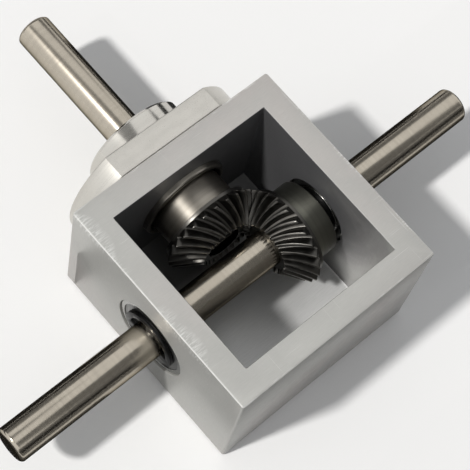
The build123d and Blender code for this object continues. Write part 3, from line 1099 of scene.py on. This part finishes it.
def gear_sector(teeth, hand, hub_end, phase):
    """Loops across one pitch of a gear: from the bore over the back, along the teeth, back to the bore."""
    heel = teeth.pitch_radius * sqrt(2)
    toe = heel - teeth.face_width
    bore = shaft_radius + BORE_PLAY
    front_radius, front = gap_bottom(teeth, toe)

    def across(distance, trim=0.0):
        middle = phase + hand * trace_angle(teeth, distance)
        return [(ratio, middle + turn) for ratio, turn in tooth_profile(teeth, distance, trim)]

    def toothed(distance, trim):
        reach = distance / sqrt(2)
        return [polar(reach * ratio, turn, reach * (2 - ratio)) for ratio, turn in across(distance, trim)]

    def plain(radius, height, turns):
        return [polar(radius, turn, height) for turn in turns]

    heel_turns = [turn for _, turn in across(heel)]
    toe_turns = [turn for _, turn in across(toe)]
    loops = [plain(point.x, point.y, heel_turns) for point in gear_back(teeth, hub_end)]
    soft = teeth.end_round
    trim = soft / (2 * teeth.pitch_radius / teeth.count)
    stations = [(heel, trim), (heel - 0.3 * soft, 0.3 * trim)]
    stations += [(heel - soft + (toe - heel + 2 * soft) * step / 14, 0) for step in range(15)]
    stations += [(toe + 0.3 * soft, 0.3 * trim), (toe, trim)]
    loops += [toothed(distance, trimmed) for distance, trimmed in stations]
    loops.append(plain(front_radius - TOOTH_FOOT_STEP, front, toe_turns))
    loops.append(plain(bore + GEAR_BORE_EDGE, front, toe_turns))
    bore_steps = 8
    for step in range(bore_steps + 1):
        part = step / bore_steps
        turns = [a + (b - a) * part for a, b in zip(toe_turns, heel_turns)]
        height = front + GEAR_BORE_EDGE + (hub_end - front - 2 * GEAR_BORE_EDGE) * part
        loops.append(plain(bore, height, turns))
    return loops


def gear(node, direction, body, hand, phase, hub_colour):
    """A spiral bevel gear: one sector repeated round its shaft, with the set screw's hole."""
    teeth = settings("teeth")
    hub_end = stretch(node, direction)[1]
    hub_start = teeth.pitch_radius * (1 + teeth.dedendum * sqrt(2) / teeth.count) + teeth.rim
    paint = gear_steel(f"Gear steel {node}", direction, hub_start - 0.2 * MM, hub_colour)
    obj = skin(gear_sector(teeth, hand, hub_end, phase), False, around=False)
    repeat_round(obj, teeth.count, 0.0, paint)
    outward(obj.data)
    obj.data.transform(shaft_frame(direction))
    cut(obj, set_screw_hole(f"{node}_set_screw"))
    finish_piece(obj, node, paint, body, sharp=38)


def set_screw_hole(node):
    """The hole that a set screw sits in, through one side of the hub."""
    low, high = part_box(node)
    radius = (high.x - low.x) / 2 + 0.03 * MM
    hub_edge = shaft_height - settings("sizes").hub_radius
    edge = 0.25 * MM
    profile = [(radius + edge + MM, hub_edge - MM), (radius, hub_edge + edge)]
    profile.append((radius, shaft_height - 2 * MM))
    place = Matrix.Translation(((low.x + high.x) / 2, (low.y + high.y) / 2, 0))
    return round_cutter(profile, place, SCREW_SEGMENTS)


class GEARBOX_OT_gears(bpy.types.Operator):
    """Builds the two meshed spiral bevel gears"""

    bl_idname = "gearbox.gears"
    bl_label = "Gears"

    def execute(self, context):
        half_pitch = pi / settings("teeth").count
        colours = settings("colours")
        gear("output_gear", OUTPUT_AXIS, "output", 1, 0.0, colours.output_hub)
        gear("input_gear", INPUT_AXIS, "input", -1, half_pitch, colours.input_hub)
        return {"FINISHED"}


# Clips


class GEARBOX_OT_clips(bpy.types.Operator):
    """Builds the E-clips from their CAD meshes, with rounded edges"""

    bl_idname = "gearbox.clips"
    bl_label = "E-clips"

    def execute(self, context):
        black = plain_metal("Blackened spring steel", settings("colours").clip, 0.36)
        for node in ("output_clip_left", "output_clip_right", "input_clip"):
            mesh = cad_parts[node].data.copy()
            outward(mesh, merge=True)
            clip = new_object(node, mesh)
            bevel = clip.modifiers.new("Edge", "BEVEL")
            bevel.width = 0.12 * MM
            bevel.segments = 2
            bevel.limit_method = "ANGLE"
            bevel.angle_limit = radians(40)
            finish_piece(settle(clip), node, black, node.split("_")[0])
        return {"FINISHED"}


# Bearings


def ball_track(radius, middle, side):
    """The groove that the balls run in, seen from the outer race, or with side -1 from the inner one."""
    depth = 0.912 * MM
    reach = 1.68 * MM
    turns = [pi * step / 8 for step in range(9)]
    return [(radius + side * depth * sin(turn), middle - side * reach * cos(turn), 0) for turn in turns]


class GEARBOX_OT_bearings(bpy.types.Operator):
    """Builds the bearings' races and shields, and finishes their balls and cages"""

    bl_idname = "gearbox.bearings"
    bl_label = "Bearings"

    def execute(self, context):
        colours = settings("colours")
        cage_paint = moulded_cage()
        ball_paint = plain_metal("Polished balls", colours.ball, 0.12)
        paints = {}
        for letter, direction, shaft in (("X", OUTPUT_AXIS, "output"), ("Y", INPUT_AXIS, "input")):
            race = (colours.race, shade(colours.race, 0.85), 0.22, 0.08 * MM, 0.004 * MM)
            shield = (colours.shield, shade(colours.shield, 0.8), 0.34, 0.2 * MM, 0.01 * MM)
            race_paint = turned_metal(f"Bearing steel {letter}", direction, *race)
            paints[shaft] = (race_paint, turned_metal(f"Shield {letter}", direction, *shield))
        for name, (shaft, direction) in BEARINGS.items():
            self.races(name, shaft, direction, paints[shaft][0])
            self.shields(name, direction, paints[shaft][1])
            for piece, paint in (("balls", ball_paint), ("cage", cage_paint)):
                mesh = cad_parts[f"{name}_{piece}"].data
                mesh.materials.clear()
                mesh.materials.append(paint)
        return {"FINISHED"}

    def races(self, name, shaft, direction, paint):
        """Both races, with their steps for the shields and the track for the balls."""
        start, end = stretch(f"{name}_outer_race", direction)
        middle = (start + end) / 2
        inner_radius = radius_of(f"{name}_inner_race")
        outer_land = shaft_radius + bearing_radius - inner_radius
        shield_radius = radius_of(f"{name}_shields")
        first_step, last_step = stretch(f"{name}_shields", direction)
        first_step += 0.3 * MM
        last_step -= 0.3 * MM
        chamfer = settings("sizes").race_chamfer
        corners = [
            (bearing_radius, start, chamfer),
            (shield_radius, start, 0.1 * MM),
            (shield_radius, first_step, 0),
            (outer_land, first_step, 0),
            *ball_track(outer_land, middle, 1),
            (outer_land, last_step, 0),
            (shield_radius, last_step, 0),
            (shield_radius, end, 0.1 * MM),
            (bearing_radius, end, chamfer),
        ]
        finish_piece(turned(corners, direction), f"{name}_outer_race", paint, "box")
        bore = shaft_radius + BORE_PLAY
        corners = [
            (bore, start, 0.25 * MM),
            (bore, end, 0.25 * MM),
            (inner_radius, end, 0.2 * MM),
            *ball_track(inner_radius, middle, -1),
            (inner_radius, start, 0.2 * MM),
        ]
        finish_piece(turned(corners, direction), f"{name}_inner_race", paint, shaft)

    def shields(self, name, direction, paint):
        """The two pressed shields, each with a raised middle and a curled rim."""
        node = f"{name}_shields"
        outer = radius_of(node)
        inner = radius_of(f"{name}_inner_race") + 0.2 * MM
        bend = 0.05 * MM
        shields = []
        for face, inward in zip(stretch(node, direction), (1, -1)):
            low = face + inward * bend
            sheet = inward * 0.25 * MM
            corners = [
                (inner, face, bend),
                (outer - 1.3 * MM, face, bend),
                (outer - 1.1 * MM, low, bend),
                (outer - 0.1 * MM, low, bend),
                (outer, low + sheet, 0),
                (outer - 1.1 * MM, low + sheet, 0),
                (inner, face + sheet, 0),
            ]
            shields.append(turned(corners, direction))
        outward(shields[0].data, shields[1].data)
        bpy.data.objects.remove(shields[1])
        finish_piece(shields[0], node, paint, "box")


# The stage


def seen_directly(tree):
    """1 for camera, mirror and glass rays, which see the pale background."""
    path = add_node(tree, "ShaderNodeLightPath", {}).outputs
    seen = Value(path["Is Camera Ray"])
    for name in ("Is Glossy Ray", "Is Transmission Ray"):
        seen = seen.math("MAXIMUM", Value(path[name]))
    return seen


def card(name, middle, half_size, facing, brightness):
    """One flat card, lit by its own glow, that only mirror rays see."""
    half_x, half_y = half_size
    points = [Vector((half_x * x, half_y * y, 0)) for x, y in ((-1, -1), (1, -1), (1, 1), (-1, 1))]
    made = mesh_object(points, [(0, 1, 2, 3)], name)
    turn = Vector(facing).to_track_quat("Z", "Y").to_matrix().to_4x4()
    made.data.transform(Matrix.Translation(middle) @ turn)
    material, position = new_material(f"Glowing card {name}", 0.0, 0.9)
    weave = mix(noise(position, 300.0, 2.0), [brightness * 0.9] * 3, [brightness] * 3)
    black = {"Base Color": (0, 0, 0, 1), "Specular IOR Level": 0.0}
    fill_inputs(principled(material), {**black, "Emission Strength": 1.0, "Emission Color": weave})
    made.data.materials.append(material)
    for ray in ("camera", "diffuse", "shadow", "transmission"):
        setattr(made, f"visible_{ray}", False)


class GEARBOX_OT_stage(bpy.types.Operator):
    """Builds the floor, the light and the camera"""

    bl_idname = "gearbox.stage"
    bl_label = "Studio"

    def execute(self, context):
        studio = settings("studio")
        self.floor(settings("colours").stage_floor)
        self.world(studio)
        self.cards(studio.dark_card, studio.grey_card)
        self.key_light(studio)
        self.camera(studio)
        context.scene.view_settings.view_transform = "Standard"
        return {"FINISHED"}

    def floor(self, pale):
        """A wide pale floor just below the base."""
        points = ring(4.0, -0.05 * MM, SEAT_SEGMENTS)
        floor = mesh_object(points, [range(SEAT_SEGMENTS)], "studio_floor")
        material, position = new_material("Studio floor", 0.0, 0.7)
        mottled = mix(ramp(noise(position, 3.0, 2.0), 0.3, 0.7), pale, shade(pale, 0.985))
        base = mix(seen_directly(position.tree), shade(pale, 0.22), mottled)
        fill_inputs(principled(material), {"Base Color": base})
        floor.data.materials.append(material)

    def world(self, studio):
        """Light from all round; camera and mirror rays see a white background."""
        world = bpy.data.worlds.new("Studio")
        bpy.context.scene.world = world
        world.use_nodes = True
        tree = world.node_tree
        tree.nodes.clear()
        ambient = {"Color": (0.98, 0.99, 1.0, 1.0), "Strength": studio.ambient}
        lit = result(tree, "ShaderNodeBackground", ambient)
        white = result(tree, "ShaderNodeBackground", {"Color": (1.0, 1.0, 1.0, 1.0), "Strength": 1.0})
        both = result(tree, "ShaderNodeMixShader", {0: seen_directly(tree), 1: lit, 2: white})
        add_node(tree, "ShaderNodeOutputWorld", {"Surface": both}, is_active_output=True)

    def cards(self, dark, grey):
        """Cards outside the picture and over the floor, for the bands in round metal."""
        card("card_front", (0, -0.8, 0.15), (1.0, 0.15), (0, 1, 0), dark)
        card("card_back", (0, 0.8, 0.12), (1.0, 0.12), (0, -1, 0), dark)
        card("card_right", (0.8, 0, 0.10), (0.8, 0.10), (-1, 0, 0), dark)
        card("card_high_front", (0.28, -0.48, 0.71), (0.36, 0.38), (-0.31, 0.53, -0.79), grey)
        card("card_high_back", (0.31, 0.72, 0.45), (0.55, 0.19), (-0.34, -0.80, -0.48), grey)
        card("card_high_left", (-0.30, 0.19, 0.83), (0.36, 0.26), (0.33, -0.22, -0.92), 1.5 * grey)
        card("card_middle_front", (0.3, -0.79, 0.40), (1.0, 0.12), (0, 1, 0), 0.8 * grey)
        card("table_front", (0, -0.335, 0.0003), (0.6, 0.265), UP, grey)
        for side in (-1, 1):
            card("table_side", (side * 0.326, -0.003, 0.0003), (0.274, 0.037), UP, 0.8 * grey)
            card("strip_side", (side * 0.067, 0.034, 0.014), (0.030, 0.013), (0, -1, 0), dark)
        card("table_back", (0.021, 0.081, 0.0003), (0.013, 0.024), UP, grey)
        card("strip_back", (0.034, 0.081, 0.014), (0.024, 0.013), (-1, 0, 0), dark)

    def key_light(self, studio):
        """A broad lamp from the photograph's left."""
        lamp = bpy.data.lights.new("Key", "SUN")
        lamp.energy = studio.key_strength
        lamp.angle = studio.key_spread
        lamp.color = (1.0, 0.985, 0.96)
        turn = Vector(studio.key_direction).to_track_quat("Z", "Y")
        new_object("Key", lamp).rotation_euler = turn.to_euler()

    def camera(self, studio):
        """The camera at the photograph's place and tilt."""
        camera = bpy.data.cameras.new("Camera")
        camera.lens = studio.lens
        camera.sensor_width = 36
        camera.clip_start = 0.01
        camera.clip_end = 20
        obj = new_object("Camera", camera)
        back = polar(cos(studio.elevation), studio.azimuth - pi / 2, sin(studio.elevation))
        obj.location = Vector(studio.target) + back * studio.distance
        obj.rotation_mode = "QUATERNION"
        tilt = Matrix.Rotation(studio.roll, 3, "Z").to_quaternion()
        obj.rotation_quaternion = back.to_track_quat("Z", "Y") @ tilt
        bpy.context.scene.camera = obj


# The add-on


class GEARBOX_PT_panel(bpy.types.Panel):
    """Lists the gearbox's steps, sizes and colours"""

    bl_idname = "GEARBOX_PT_panel"
    bl_label = "Gearbox"
    bl_space_type = "VIEW_3D"
    bl_region_type = "UI"
    bl_category = "Gearbox"

    def draw(self, context):
        for step in STEPS:
            self.layout.operator(step.bl_idname)
        for kind in GROUPS:
            box = self.layout.box()
            group = settings(kind)
            for name in group.bl_rna.properties.keys():
                if name not in ("rna_type", "name"):
                    box.prop(group, name)


GROUPS = {"sizes": GearboxSizes, "teeth": GearboxTeeth, "colours": GearboxColours, "studio": GearboxStudio}
STEPS = [
    GEARBOX_OT_housing,
    GEARBOX_OT_flange,
    GEARBOX_OT_screws,
    GEARBOX_OT_shafts,
    GEARBOX_OT_gears,
    GEARBOX_OT_clips,
    GEARBOX_OT_bearings,
    GEARBOX_OT_stage,
]


def register():
    """Makes the properties, operators and panel known."""
    for kind, group in GROUPS.items():
        bpy.utils.register_class(group)
        setattr(bpy.types.Scene, f"gearbox_{kind}", PointerProperty(type=group))
    for step in (*STEPS, GEARBOX_PT_panel):
        bpy.utils.register_class(step)


def unregister():
    """Takes them away again."""
    for step in (GEARBOX_PT_panel, *STEPS):
        bpy.utils.unregister_class(step)
    for kind, group in GROUPS.items():
        delattr(bpy.types.Scene, f"gearbox_{kind}")
        bpy.utils.unregister_class(group)


def main():
    """Builds the whole gearbox."""
    register()
    bpy.ops.gearbox.housing()
    bpy.ops.gearbox.flange()
    bpy.ops.gearbox.screws()
    bpy.ops.gearbox.shafts()
    bpy.ops.gearbox.gears()
    bpy.ops.gearbox.clips()
    bpy.ops.gearbox.bearings()
    bpy.ops.gearbox.stage()


if __name__ == "__main__":
    main()
